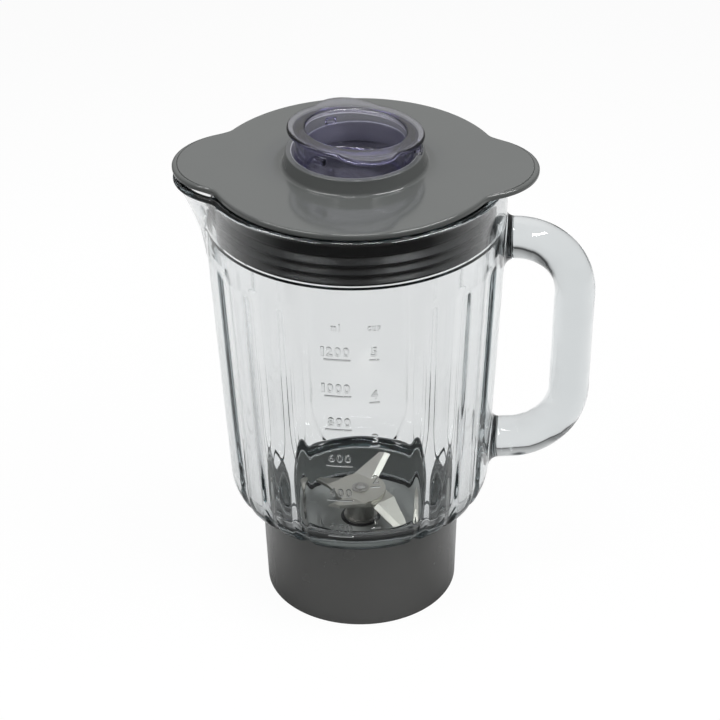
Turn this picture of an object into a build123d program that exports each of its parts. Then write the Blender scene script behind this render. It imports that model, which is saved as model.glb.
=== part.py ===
from build123d import *
import os
from math import atan2, cos, hypot, radians, sin

# A glass blender jar on its grey docking base, with its lid, filler cap and blade unit.
# The origin is at the middle of the base's lower face, +Z runs up the jar's axis, the measuring
# scale faces -Y, the handle points to +X and the pouring lip to -X.

# Clearances
RUNNING_FIT = 0.05
SEAT_GAP = 0.3
SNUG_FIT = 0.05

# Base moulding and the ring under the goblet
BASE_HEIGHT = 46.0
BASE_DRAFT = 1.5
BASE_WALL = 2.6
CUP_WALL = 5.6
CUP_DEPTH = 16.0
CUP_FLOOR_THICKNESS = 3.0
SEAL_RING_THICKNESS = 2.0
SOCKET_DEPTH = 8.0
SOCKET_STEP = 1.2
HUB_BOSS_WALL = 6.0
HUB_BOSS_DEPTH = 3.0
RIB_COUNT = 6
RIB_THICKNESS = 2.0
RIB_DEPTH = 6.0
LUG_COUNT = 4
LUG_FIRST_AZIMUTH = 45.0
LUG_SPAN = 34.0
LUG_REACH = 3.2
LUG_HEIGHT = 4.0

# Glass goblet
NECK_R = 40.6
NECK_WALL = 4.4
NECK_RISE = 4.5
SEAT_WIDTH = 4.0
SHOULDER_SPREAD = 16.0
SHOULDER_HEIGHT = 18.5
WALL_FLARE = 6.3
GLASS_WALL = 6.0
GLASS_HEIGHT = 172.0
BAND_HEIGHT = 36.0
RIM_FLARE = 0.6
RIM_WALL = 5.2
LEDGE_DEPTH = 22.8
LEDGE_DROP = 1.8
INNER_SHOULDER_DROP = 7.0
INNER_NECK_BEND_R = 4.0
INNER_SHOULDER_BEND_R = 9.0

# Flutes pressed into the outside of the goblet
FLUTE_R = 5.5
FLUTE_DEPTH = 1.2
FLUTE_TOP_DROP = 2.0
FLUTE_AZIMUTHS = (27.0, 43.5, 61.5)

# Pouring lip
LIP_OUT = 14.0
LIP_R = 30.0
LIP_MID_OUT = 5.5
LIP_MID_R = 17.0
LIP_MID_DEPTH = 18.0
LIP_FOOT_R = 7.0
LIP_FOOT_DEPTH = 40.0
LIP_WALL = 4.5

# Handle
HANDLE_HALF_THICKNESS = 9.2
HANDLE_HALF_WIDTH = 10.6
HANDLE_TOP_DEPTH = 35.4
HANDLE_LOW_RISE = 11.3
HANDLE_STEM = 4.5
HANDLE_LEAN = 2.6
HANDLE_BEND_R = 28.0
HANDLE_ROOT_DEPTH = 3.6
HANDLE_ROOT_FILLET = 4.0

# Lid moulding
LID_INSET = 2.1
LID_THICKNESS = 2.8
LID_EDGE_R = 1.1
LID_TURN = -4.5
EAR_OUT = 15.6
EAR_R = 28.0
EAR_BLEND_R = 15.0
COLLAR_R = 30.6
COLLAR_FLARE = 1.2
COLLAR_WALL = 2.8
COLLAR_RISE = 7.2
COLLAR_EDGE_R = 0.9
COLLAR_FOOT_BLEND_R = 1.6
FILLER_TUBE_DROP = 16.0
FILLER_TUBE_WALL = 2.0
FILLER_TUBE_GAP = 0.8
SKIRT_WALL = 2.4
SKIRT_FLANGE = 1.6
SKIRT_FLANGE_THICKNESS = 1.6
SKIRT_BELOW_LEDGE = 1.2
ENTRY_NOTCH_PLAY = 2.0
ENTRY_NOTCH_DEPTH = 4.5
ENTRY_NOTCH_GAP = 0.5

# Lid seal
SEAL_REACH = 4.0
SEAL_BAND_THICKNESS = 2.9
SEAL_ROOT_THICKNESS = 1.9
SEAL_RIB_COUNT = 3
SEAL_RIB_PITCH = 4.6
SEAL_RIB_EDGE = 0.8
SEAL_RIB_HEIGHT = 3.4

# Filler cap
CAP_GAP = 1.4
CAP_WALL = 4.2
CAP_WELL_DEPTH = 19.0
CAP_FLOOR = 2.2
CAP_FLANGE_OUT = 3.9
CAP_FLANGE_THICKNESS = 2.2
CAP_FLANGE_LIFT = 6.0
CAP_LOBE_OUT = 6.5
CAP_LOBE_R = 14.0
CAP_LOBE_BLEND_R = 6.0
CAP_LOBE_AZIMUTHS = (100.0, 280.0)
CAP_TILT = 5.5
CAP_TILT_AZIMUTH = 219.0
CAP_LUG_COUNT = 3
CAP_LUG_REACH = 2.6
CAP_LUG_WIDTH = 6.0
CAP_LUG_HEIGHT = 3.2

# Spindle, its bearings and its seal
SPINDLE_R = 4.0
BUSH_WALL = 3.0
UPPER_BUSH_LENGTH = 4.5
LOWER_BUSH_LENGTH = 4.0
SHAFT_SEAL_OUT = 2.5
SHAFT_SEAL_THICKNESS = 2.6
HOUSING_WALL = 5.0
HOUSING_FLANGE_OUT = 7.0
HOUSING_FLANGE_THICKNESS = 3.4
HOUSING_NUT_OUT = 4.5
HOUSING_NUT_THICKNESS = 2.5
LOWER_WASHER_OUT = 2.8
LOWER_WASHER_THICKNESS = 1.0
CLIP_OUT = 2.4
CLIP_THICKNESS = 1.0
CLIP_OPENING = 4.0
CLIP_GROOVE_DEPTH = 0.6

# Blades and what holds them on the spindle
THRUST_WASHER_OUT = 4.0
THRUST_WASHER_THICKNESS = 1.0
SPACER_WALL = 2.5
SPACER_LENGTH = 11.3
BLADE_PIN_STEP = 2.0
BLADE_THICKNESS = 1.6
BLADE_HUB_R = 12.0
BLADE_OFFSET = 4.0
BLADE_ROOT_WIDTH = 12.0
BLADE_TIP_WIDTH = 5.0
BLADE_TIP_SLANT = 2.0
BLADE_BEVEL_WIDTH = 2.4
BLADE_EDGE_THICKNESS = 0.3
UPPER_BLADE_AZIMUTH = 51.0
UPPER_BLADE_RISE_ANGLE = 21.0
UPPER_BLADE_BEND_R = 9.0
UPPER_BLADE_REACH = 25.5
LOWER_BLADE_AZIMUTH = -55.0
LOWER_BLADE_DROP_ANGLE = 24.0
LOWER_BLADE_BEND_R = 13.5
LOWER_BLADE_REACH = 30.0
BLADE_WASHER_OUT = 2.0
BLADE_WASHER_THICKNESS = 0.6
HEAD_LIP = 0.6
HEAD_HEIGHT = 1.2

# Drive coupling
COUPLING_R = 14.0
COUPLING_LENGTH = 9.1
COUPLING_HUB_WALL = 4.0
COUPLING_PLATE_THICKNESS = 3.0
COUPLING_TOOTH_COUNT = 6
COUPLING_TOOTH_SPAN = 26.0

# Goblet levels and radii
seat_r = NECK_R + SEAT_WIDTH
shoulder_r = seat_r + SHOULDER_SPREAD
shoulder_z = BASE_HEIGHT + SHOULDER_HEIGHT
rim_z = BASE_HEIGHT + GLASS_HEIGHT
band_r = shoulder_r + WALL_FLARE
band_z = rim_z - BAND_HEIGHT
rim_r = band_r + RIM_FLARE
mouth_r = rim_r - RIM_WALL
ledge_z = rim_z - LEDGE_DEPTH
neck_top_z = BASE_HEIGHT + NECK_RISE
neck_inner_r = NECK_R - NECK_WALL
wall_slope = atan2(band_r - shoulder_r, band_z - shoulder_z)
flute_top_z = band_z - FLUTE_TOP_DROP
lip_reach = rim_r + LIP_OUT
lip_mid_reach = band_r + LIP_MID_OUT
lip_mid_z = rim_z - LIP_MID_DEPTH
lip_foot_z = rim_z - LIP_FOOT_DEPTH
handle_top_z = rim_z - HANDLE_TOP_DEPTH
handle_low_z = shoulder_z + HANDLE_LOW_RISE
handle_top_x = band_r + HANDLE_STEM + HANDLE_BEND_R
handle_low_x = handle_top_x - HANDLE_LEAN

# Base and bearing levels and radii
cup_r = NECK_R + SEAT_GAP
base_top_r = cup_r + CUP_WALL
base_bottom_r = base_top_r - BASE_DRAFT
socket_r = base_bottom_r - BASE_WALL
socket_upper_r = socket_r - SOCKET_STEP
cup_floor_z = BASE_HEIGHT - CUP_DEPTH
neck_bottom_z = cup_floor_z + SEAL_RING_THICKNESS
floor_underside_z = cup_floor_z - CUP_FLOOR_THICKNESS
boss_bottom_z = floor_underside_z - HUB_BOSS_DEPTH
bush_r = SPINDLE_R + BUSH_WALL
shaft_seal_r = bush_r + SHAFT_SEAL_OUT
housing_stem_r = bush_r + HOUSING_WALL
housing_flange_r = housing_stem_r + HOUSING_FLANGE_OUT
housing_nut_r = housing_stem_r + HOUSING_NUT_OUT
hub_boss_r = housing_stem_r + HUB_BOSS_WALL
housing_top_z = cup_floor_z + HOUSING_FLANGE_THICKNESS
stem_bottom_z = boss_bottom_z - HOUSING_NUT_THICKNESS - SEAT_GAP

# Blade unit levels and radii
blade_pin_r = SPINDLE_R - BLADE_PIN_STEP
thrust_washer_r = SPINDLE_R + THRUST_WASHER_OUT
spacer_r = SPINDLE_R + SPACER_WALL
blade_washer_r = blade_pin_r + BLADE_WASHER_OUT
head_r = blade_pin_r + HEAD_LIP
lower_washer_r = SPINDLE_R + LOWER_WASHER_OUT
clip_r = SPINDLE_R + CLIP_OUT
clip_groove_r = SPINDLE_R - CLIP_GROOVE_DEPTH
coupling_hub_r = SPINDLE_R + COUPLING_HUB_WALL
washer_bottom_z = housing_top_z + SEAT_GAP
spacer_bottom_z = washer_bottom_z + THRUST_WASHER_THICKNESS
lower_blade_z = spacer_bottom_z + SPACER_LENGTH
upper_blade_z = lower_blade_z + BLADE_THICKNESS
blade_washer_z = upper_blade_z + BLADE_THICKNESS
head_z = blade_washer_z + BLADE_WASHER_THICKNESS
lower_washer_z = stem_bottom_z - SEAT_GAP - LOWER_WASHER_THICKNESS
clip_z = lower_washer_z - CLIP_THICKNESS
coupling_top_z = clip_z - SEAT_GAP
spindle_bottom_z = coupling_top_z - COUPLING_LENGTH

# Lid, seal and filler cap levels and radii
lid_r = rim_r - LID_INSET
ear_reach = lid_r + EAR_OUT
lid_bottom_z = rim_z + SEAT_GAP
lid_top_z = lid_bottom_z + LID_THICKNESS
collar_foot_r = COLLAR_R + COLLAR_FLARE
collar_hole_r = COLLAR_R - COLLAR_WALL
collar_top_z = lid_top_z + COLLAR_RISE
filler_tube_r = collar_hole_r + FILLER_TUBE_GAP
seal_rib_r = mouth_r - SEAT_GAP
skirt_r = seal_rib_r - SEAL_REACH
seal_band_r = skirt_r + SEAL_BAND_THICKNESS
seal_root_r = skirt_r + SEAL_ROOT_THICKNESS
skirt_bottom_z = ledge_z - SKIRT_BELOW_LEDGE
cap_r = collar_hole_r - CAP_GAP
cap_well_r = cap_r - CAP_WALL
cap_flange_r = cap_r + CAP_FLANGE_OUT
cap_lobe_reach = cap_flange_r + CAP_LOBE_OUT
cap_flange_z = collar_top_z + CAP_FLANGE_LIFT
cap_lug_reach = cap_r + CAP_LUG_REACH


def turned(outline):
    """Solid of revolution about the jar's axis from a closed outline of radius and height."""
    return revolve(Plane.XZ * make_face(outline), Axis.Z)


def ring(inner_r, outer_r, low_z, high_z):
    """Flat ring about the jar's axis between two heights."""
    section = Circle(outer_r) - Circle(inner_r)
    return Pos(0, 0, low_z) * extrude(section, high_z - low_z)


def disc(outer_r, low_z, high_z):
    """Plain disc about the jar's axis between two heights."""
    return Pos(0, 0, low_z) * extrude(Circle(outer_r), high_z - low_z)


def around(shape, azimuths):
    """Copies of a shape turned about the jar's axis."""
    return [Rot(0, 0, azimuth) * shape for azimuth in azimuths]


def even_azimuths(count, first=0.0):
    """Evenly spaced azimuths in degrees."""
    return [first + 360.0 * k / count for k in range(count)]


def ring_sector(inner_r, outer_r, span, low_z, high_z):
    """Block of a ring, centred on +X, that spans an angle about the jar's axis."""
    half = radians(span / 2)
    far = 2 * outer_r
    wedge = make_face(Polyline((0, 0), (far * cos(half), -far * sin(half)),
                               (far * cos(half), far * sin(half)), close=True))
    section = (Circle(outer_r) - Circle(inner_r)) & wedge
    return Pos(0, 0, low_z) * extrude(section, high_z - low_z)


def inner_wall_r(height):
    """Radius of the goblet's inner wall below the ledge."""
    share = (height - shoulder_z) / (band_z - shoulder_z)
    return shoulder_r + share * (band_r - shoulder_r) - GLASS_WALL


def outer_wall_r(height):
    """Radius of the goblet's outer wall between the shoulder and the top band."""
    share = (height - shoulder_z) / (band_z - shoulder_z)
    return shoulder_r + share * (band_r - shoulder_r)


def shoulder_arc():
    """Centre and radius of the round shoulder, tangent to the wall and ending on the base."""
    chord = hypot(shoulder_r - seat_r, shoulder_z - BASE_HEIGHT)
    chord_angle = atan2(shoulder_r - seat_r, shoulder_z - BASE_HEIGHT)
    radius = chord / (2 * sin(chord_angle - wall_slope))
    centre = (shoulder_r - radius * cos(wall_slope), shoulder_z + radius * sin(wall_slope))
    return centre, radius


def goblet_outside():
    """The goblet's outside without flutes, lip or handle, as a full solid."""
    centre, radius = shoulder_arc()
    low_angle = atan2(BASE_HEIGHT - centre[1], seat_r - centre[0])
    high_angle = -wall_slope
    middle_angle = (low_angle + high_angle) / 2
    middle = (centre[0] + radius * cos(middle_angle), centre[1] + radius * sin(middle_angle))
    foot = Polyline((0, neck_bottom_z), (NECK_R, neck_bottom_z), (NECK_R, BASE_HEIGHT), (seat_r, BASE_HEIGHT))
    shoulder = ThreePointArc((seat_r, BASE_HEIGHT), middle, (shoulder_r, shoulder_z))
    wall = Polyline((shoulder_r, shoulder_z), (band_r, band_z), (rim_r, rim_z), (0, rim_z),
                    (0, neck_bottom_z))
    return turned(foot + shoulder + wall)


def goblet_inside():
    """The goblet's hollow from the neck to the rim, without the lip's channel."""
    below = neck_bottom_z - NECK_WALL
    above = rim_z + GLASS_WALL
    inner_shoulder_z = shoulder_z - INNER_SHOULDER_DROP
    ledge_low_z = ledge_z - LEDGE_DROP
    wall = FilletPolyline((neck_inner_r, below), (neck_inner_r, neck_top_z),
                          (inner_wall_r(inner_shoulder_z), inner_shoulder_z),
                          (inner_wall_r(ledge_low_z), ledge_low_z),
                          radius=[INNER_NECK_BEND_R, INNER_SHOULDER_BEND_R])
    mouth = Polyline((inner_wall_r(ledge_low_z), ledge_low_z), (mouth_r, ledge_z), (mouth_r, above),
                     (0, above), (0, below), (neck_inner_r, below))
    return turned(wall + mouth)


def lip_form(inset):
    """Flared form of the pouring lip, drawn in by an inset for its channel."""
    stations = [
        (lip_foot_z, LIP_FOOT_R, outer_wall_r(lip_foot_z) - LIP_FOOT_R),
        (lip_mid_z, LIP_MID_R, lip_mid_reach - LIP_MID_R),
        (rim_z, LIP_R, lip_reach - LIP_R),
    ]
    sections = [Plane.XY.offset(z) * Pos(-out, 0) * Circle(r - inset) for z, r, out in stations]
    return loft(sections)


def flute_cutter():
    """Round-nosed cutter that follows the wall down over the shoulder, in the XZ plane."""
    centre, radius = shoulder_arc()
    path_r = radius + FLUTE_R - FLUTE_DEPTH
    start_angle = atan2(BASE_HEIGHT - FLUTE_R - centre[1], seat_r - FLUTE_R - centre[0])
    end_angle = -wall_slope
    middle_angle = (start_angle + end_angle) / 2
    arc_points = [(centre[0] + path_r * cos(a), 0, centre[1] + path_r * sin(a))
                  for a in (start_angle, middle_angle, end_angle)]
    rise = (flute_top_z - arc_points[2][2]) / cos(wall_slope)
    top = (arc_points[2][0] + rise * sin(wall_slope), 0, flute_top_z)
    path = ThreePointArc(*arc_points) + Line(arc_points[2], top)
    section = Plane(origin=path @ 0, z_dir=path % 0) * Circle(FLUTE_R)
    return sweep(section, path) + Pos(*top) * Sphere(FLUTE_R)


def flute_azimuths():
    """Azimuths of every flute: the set is mirrored into all four quarters of the goblet."""
    quarter = [90.0 - azimuth for azimuth in FLUTE_AZIMUTHS]
    half = quarter + [180.0 - azimuth for azimuth in quarter]
    return half + [-azimuth for azimuth in half]


def handle_bar():
    """The handle's oval bar, from root to root."""
    top_root = outer_wall_r(handle_top_z) - HANDLE_ROOT_DEPTH
    low_root = outer_wall_r(handle_low_z) - HANDLE_ROOT_DEPTH
    path = FilletPolyline((top_root, 0, handle_top_z), (handle_top_x, 0, handle_top_z),
                          (handle_low_x, 0, handle_low_z), (low_root, 0, handle_low_z),
                          radius=HANDLE_BEND_R)
    section = Plane(origin=path @ 0, x_dir=(0, 1, 0), z_dir=path % 0)
    return sweep(section * Ellipse(HANDLE_HALF_WIDTH, HANDLE_HALF_THICKNESS), path)


def make_goblet():
    """Pressed glass goblet with its lip, handle and flutes."""
    body = goblet_outside() + lip_form(0)
    bare_edges = body.edges()
    body = body + handle_bar()
    roots = [edge for edge in body.edges() - bare_edges
             if edge.bounding_box().max.X < handle_low_x - HANDLE_BEND_R
             and edge.bounding_box().size.Y > HANDLE_HALF_WIDTH]
    body = fillet(roots, HANDLE_ROOT_FILLET)
    body = body - around(flute_cutter(), flute_azimuths())
    hollow = goblet_inside() + lip_form(LIP_WALL)
    return body - hollow


def make_base():
    """Base moulding: outer skirt, cup for the neck, floor, hub boss, ribs and docking lugs."""
    shell = turned(Polyline(
        (socket_r, 0), (base_bottom_r, 0), (base_top_r, BASE_HEIGHT), (cup_r, BASE_HEIGHT),
        (cup_r, cup_floor_z), (housing_stem_r + SNUG_FIT, cup_floor_z),
        (housing_stem_r + SNUG_FIT, boss_bottom_z), (hub_boss_r, boss_bottom_z),
        (hub_boss_r, floor_underside_z), (socket_upper_r, floor_underside_z),
        (socket_upper_r, SOCKET_DEPTH), (socket_r, SOCKET_DEPTH), close=True))
    rib_length = socket_upper_r + SOCKET_STEP / 2 - hub_boss_r
    rib = Pos((hub_boss_r + rib_length / 2), 0, floor_underside_z - RIB_DEPTH / 2) * Box(
        rib_length, RIB_THICKNESS, RIB_DEPTH)
    lug = ring_sector(socket_upper_r - LUG_REACH, socket_upper_r + SOCKET_STEP / 2, LUG_SPAN,
                      SOCKET_DEPTH, SOCKET_DEPTH + LUG_HEIGHT)
    ribs = around(rib, even_azimuths(RIB_COUNT))
    lugs = around(lug, even_azimuths(LUG_COUNT, LUG_FIRST_AZIMUTH))
    return shell + ribs + lugs


def make_lid():
    """Lid moulding: eared plate, collar with its entry notch, filler tube and plug skirt."""
    outline = Circle(lid_r)
    for ear in around(Pos(ear_reach - EAR_R, 0) * Circle(EAR_R), even_azimuths(2)):
        outline = outline + ear
    outline = fillet(outline.vertices(), EAR_BLEND_R)
    plate = Pos(0, 0, lid_bottom_z) * extrude(outline, LID_THICKNESS)
    plate = fillet(plate.faces().sort_by(Axis.Z)[-1].edges(), LID_EDGE_R)
    collar = turned(Polyline((0, lid_bottom_z), (collar_foot_r, lid_bottom_z), (collar_foot_r, lid_top_z),
                             (COLLAR_R, collar_top_z), (0, collar_top_z), close=True))
    collar = fillet(collar.edges().group_by(Axis.Z)[-1], COLLAR_EDGE_R)
    flange_top = skirt_bottom_z + SKIRT_FLANGE_THICKNESS
    skirt_top = lid_top_z - LID_THICKNESS / 2
    skirt = turned(Polyline((skirt_r - SKIRT_WALL, skirt_bottom_z), (skirt_r + SKIRT_FLANGE, skirt_bottom_z),
                            (skirt_r + SKIRT_FLANGE, flange_top), (skirt_r, flange_top),
                            (skirt_r, skirt_top), (skirt_r - SKIRT_WALL, skirt_top), close=True))
    tube = ring(filler_tube_r, filler_tube_r + FILLER_TUBE_WALL, lid_bottom_z - FILLER_TUBE_DROP,
                lid_bottom_z + LID_THICKNESS / 2)
    lid = plate + collar + skirt + tube
    foot = [edge for edge in lid.edges().filter_by(GeomType.CIRCLE)
            if abs(edge.radius - collar_foot_r) < SNUG_FIT and abs(edge.center().Z - lid_top_z) < SNUG_FIT]
    lid = fillet(foot, COLLAR_FOOT_BLEND_R)
    lid = lid - disc(collar_hole_r, lid_bottom_z - LID_THICKNESS, collar_top_z + LID_THICKNESS)
    notch_reach = cap_lug_reach + ENTRY_NOTCH_GAP
    notch_width = CAP_LUG_WIDTH + 2 * ENTRY_NOTCH_PLAY
    notch = Pos(notch_reach / 2, 0, collar_top_z) * Box(notch_reach, notch_width, 2 * ENTRY_NOTCH_DEPTH)
    return Rot(0, 0, LID_TURN) * (lid - notch)


def make_lid_seal():
    """Rubber seal on the plug skirt: a smooth band over a row of ribs that slope out to a sharp edge."""
    low = skirt_bottom_z + SKIRT_FLANGE_THICKNESS
    inner_r = skirt_r + SNUG_FIT
    outline = [(inner_r, low)]
    for k in range(SEAL_RIB_COUNT):
        foot = low + k * SEAL_RIB_PITCH
        outline += [(seal_rib_r, foot), (seal_rib_r, foot + SEAL_RIB_EDGE)]
        outline += [(seal_root_r, foot + SEAL_RIB_HEIGHT), (seal_root_r, foot + SEAL_RIB_PITCH)]
    ribs_top = low + SEAL_RIB_COUNT * SEAL_RIB_PITCH
    outline += [(seal_band_r, ribs_top), (seal_band_r, lid_bottom_z), (inner_r, lid_bottom_z)]
    return turned(Polyline(*outline, close=True))


def make_filler_cap():
    """Clear filler cap: a cup with a lobed flange and bayonet lugs, sitting askew in the collar."""
    lobe_out = cap_lobe_reach - CAP_LOBE_R
    flange = Circle(cap_flange_r)
    for lobe in around(Pos(lobe_out, 0) * Circle(CAP_LOBE_R), CAP_LOBE_AZIMUTHS):
        flange = flange + lobe
    flange = fillet(flange.vertices(), CAP_LOBE_BLEND_R)
    flange = Pos(0, 0, cap_flange_z) * extrude(flange, CAP_FLANGE_THICKNESS)
    well_top = cap_flange_z + CAP_FLANGE_THICKNESS
    well_low = well_top - CAP_WELL_DEPTH
    cup = disc(cap_r, well_low - CAP_FLOOR, well_top)
    lug = Pos(cap_lug_reach / 2, 0, collar_top_z + CAP_LUG_HEIGHT / 2) * Box(
        cap_lug_reach, CAP_LUG_WIDTH, CAP_LUG_HEIGHT)
    lug_azimuths = even_azimuths(CAP_LUG_COUNT, LID_TURN)
    shape = flange + cup + around(lug, lug_azimuths)
    shape = shape - disc(cap_well_r, well_low, well_top + CAP_FLOOR)
    resting_corner = radians(lug_azimuths[1] - CAP_TILT_AZIMUTH) - atan2(CAP_LUG_WIDTH / 2, cap_lug_reach)
    lift = SEAT_GAP - cap_lug_reach * cos(resting_corner) * sin(radians(CAP_TILT))
    lean = Rot(0, 0, CAP_TILT_AZIMUTH) * Rot(0, -CAP_TILT, 0) * Rot(0, 0, -CAP_TILT_AZIMUTH)
    return Pos(0, 0, collar_top_z + lift) * lean * Pos(0, 0, -collar_top_z) * shape


def make_blade(hub_z, azimuth, angle, bend_r, reach):
    """Two-winged blade: a flat hub with ground wings beside its middle, bent up for a positive angle."""
    length = (reach - bend_r) / cos(radians(angle))
    plan = make_face(Polyline((0, -BLADE_ROOT_WIDTH / 2), (length, -BLADE_TIP_WIDTH / 2),
                              (length - BLADE_TIP_SLANT, BLADE_TIP_WIDTH / 2), (0, BLADE_ROOT_WIDTH / 2),
                              close=True))
    wing = extrude(plan, BLADE_THICKNESS)
    top = wing.faces().sort_by(Axis.Z)[-1]
    leading_edge = top.edges().sort_by(Axis.Y)[0]
    wing = chamfer(leading_edge, BLADE_BEVEL_WIDTH, BLADE_THICKNESS - BLADE_EDGE_THICKNESS, reference=top)
    bend_height = BLADE_THICKNESS if angle < 0 else 0.0
    wing = Pos(bend_r, BLADE_OFFSET, hub_z + bend_height) * Rot(0, -angle, 0) * Pos(0, 0, -bend_height) * wing
    root = Pos(bend_r / 2, BLADE_OFFSET, hub_z + BLADE_THICKNESS / 2) * Box(
        bend_r, BLADE_ROOT_WIDTH, BLADE_THICKNESS)
    hub = disc(BLADE_HUB_R, hub_z, hub_z + BLADE_THICKNESS)
    pin_hole = disc(blade_pin_r + SNUG_FIT, hub_z - BLADE_HUB_R, hub_z + BLADE_HUB_R)
    wings = around(wing, even_azimuths(2)) + around(root, even_azimuths(2))
    return Rot(0, 0, azimuth) * (hub + wings - pin_hole)


def make_spindle():
    """Turned spindle with a clip groove, a stepped pin for the blades and a peened head."""
    groove_low = clip_z - SNUG_FIT
    groove_high = clip_z + CLIP_THICKNESS + SNUG_FIT
    return turned(Polyline((0, spindle_bottom_z), (SPINDLE_R, spindle_bottom_z), (SPINDLE_R, groove_low),
                           (clip_groove_r, groove_low), (clip_groove_r, groove_high),
                           (SPINDLE_R, groove_high), (SPINDLE_R, lower_blade_z),
                           (blade_pin_r, lower_blade_z), (blade_pin_r, head_z), (head_r, head_z),
                           (head_r, head_z + HEAD_HEIGHT / 2), (head_r / 2, head_z + HEAD_HEIGHT),
                           (0, head_z + HEAD_HEIGHT), close=True))


def make_bearing_housing():
    """Flanged carrier through the base's floor, bored for the bushes and the shaft seal."""
    seal_z = housing_top_z - SHAFT_SEAL_THICKNESS
    return turned(Polyline(
        (bush_r + SNUG_FIT, stem_bottom_z), (housing_stem_r, stem_bottom_z), (housing_stem_r, cup_floor_z),
        (housing_flange_r, cup_floor_z), (housing_flange_r, housing_top_z),
        (shaft_seal_r + SNUG_FIT, housing_top_z), (shaft_seal_r + SNUG_FIT, seal_z),
        (bush_r + SNUG_FIT, seal_z), close=True))


def make_drive_coupling():
    """Toothed coupling on the spindle's lower end."""
    bore_r = SPINDLE_R + SNUG_FIT
    plate = ring(bore_r, COUPLING_R, coupling_top_z - COUPLING_PLATE_THICKNESS, coupling_top_z)
    hub = ring(bore_r, coupling_hub_r, spindle_bottom_z, coupling_top_z)
    tooth = ring_sector(coupling_hub_r - SNUG_FIT, COUPLING_R, COUPLING_TOOTH_SPAN, spindle_bottom_z,
                        coupling_top_z - COUPLING_PLATE_THICKNESS)
    return plate + hub + around(tooth, even_azimuths(COUPLING_TOOTH_COUNT))


def make_retaining_clip():
    """Open spring clip in the spindle's lower groove."""
    clip = ring(clip_groove_r + SNUG_FIT, clip_r, clip_z, clip_z + CLIP_THICKNESS)
    return clip - Pos(clip_r, 0, clip_z) * Box(2 * clip_r, CLIP_OPENING, 4 * CLIP_THICKNESS)


def build_parts():
    """Every sub-part of the jar by name."""
    bush_bore_r = SPINDLE_R + RUNNING_FIT
    loose_bore_r = SPINDLE_R + SNUG_FIT
    upper_bush_top = housing_top_z - SHAFT_SEAL_THICKNESS
    return {
        "goblet": make_goblet(),
        "base": make_base(),
        "base_seal": ring(neck_inner_r, NECK_R, cup_floor_z, neck_bottom_z),
        "lid": make_lid(),
        "lid_seal": make_lid_seal(),
        "filler_cap": make_filler_cap(),
        "bearing_housing": make_bearing_housing(),
        "housing_nut": ring(housing_stem_r + SNUG_FIT, housing_nut_r,
                            boss_bottom_z - HOUSING_NUT_THICKNESS, boss_bottom_z),
        "upper_bush": ring(bush_bore_r, bush_r, upper_bush_top - UPPER_BUSH_LENGTH, upper_bush_top),
        "lower_bush": ring(bush_bore_r, bush_r, stem_bottom_z, stem_bottom_z + LOWER_BUSH_LENGTH),
        "shaft_seal": ring(bush_bore_r, shaft_seal_r, upper_bush_top, housing_top_z),
        "spindle": make_spindle(),
        "thrust_washer": ring(loose_bore_r, thrust_washer_r, washer_bottom_z, spacer_bottom_z),
        "blade_spacer": ring(loose_bore_r, spacer_r, spacer_bottom_z, lower_blade_z),
        "lower_blade": make_blade(lower_blade_z, LOWER_BLADE_AZIMUTH, -LOWER_BLADE_DROP_ANGLE,
                                  LOWER_BLADE_BEND_R, LOWER_BLADE_REACH),
        "upper_blade": make_blade(upper_blade_z, UPPER_BLADE_AZIMUTH, UPPER_BLADE_RISE_ANGLE,
                                  UPPER_BLADE_BEND_R, UPPER_BLADE_REACH),
        "blade_washer": ring(blade_pin_r + SNUG_FIT, blade_washer_r, blade_washer_z, head_z),
        "lower_washer": ring(loose_bore_r, lower_washer_r, lower_washer_z,
                             lower_washer_z + LOWER_WASHER_THICKNESS),
        "retaining_clip": make_retaining_clip(),
        "drive_coupling": make_drive_coupling(),
    }


os.makedirs("parts", exist_ok=True)
for name, shape in build_parts().items():
    export_step(shape, f"parts/{name}.step")
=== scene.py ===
"""Looks of a glass blender jar: pressed glass, grey mouldings, rubber seal, clear cap and steel blades."""

import logging
import math
from dataclasses import dataclass
from enum import Enum
from typing import Sequence

import bmesh
import bpy
import numpy as np
from mathutils import Matrix, Vector


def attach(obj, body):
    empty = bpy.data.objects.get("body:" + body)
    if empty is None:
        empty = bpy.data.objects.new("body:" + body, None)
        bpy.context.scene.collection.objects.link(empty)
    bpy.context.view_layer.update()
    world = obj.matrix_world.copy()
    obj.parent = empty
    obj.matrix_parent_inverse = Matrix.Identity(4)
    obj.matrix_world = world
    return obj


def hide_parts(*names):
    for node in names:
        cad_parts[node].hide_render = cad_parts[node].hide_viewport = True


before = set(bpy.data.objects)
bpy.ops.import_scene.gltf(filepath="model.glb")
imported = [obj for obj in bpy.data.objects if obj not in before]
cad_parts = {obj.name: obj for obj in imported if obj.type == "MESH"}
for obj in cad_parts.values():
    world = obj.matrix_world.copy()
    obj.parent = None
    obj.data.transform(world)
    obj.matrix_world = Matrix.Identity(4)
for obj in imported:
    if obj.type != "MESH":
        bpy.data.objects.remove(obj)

LOG = logging.getLogger("blender_jar")
MM = 0.001
NOISE_SPREAD = (0.3, 0.7)
EDGE_BLEND = 0.0003
ROUND_COLUMNS = 240
SLACK = 0.01
Span = tuple[float, float]
Triple = tuple[float, float, float]
Colour = Triple
Corner = Triple
Socket = bpy.types.NodeSocket
Piece = bpy.types.Object


class Body(Enum):
    """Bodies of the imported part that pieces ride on."""

    JAR = "jar"
    LID = "lid"
    CAP = "cap"


class Slot(Enum):
    """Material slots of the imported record."""

    GLASS = "clear_glass"
    BASE = "base_grey"
    LID = "lid_grey"
    SEAL = "seal_rubber"
    CAP = "cap_clear"


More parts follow.
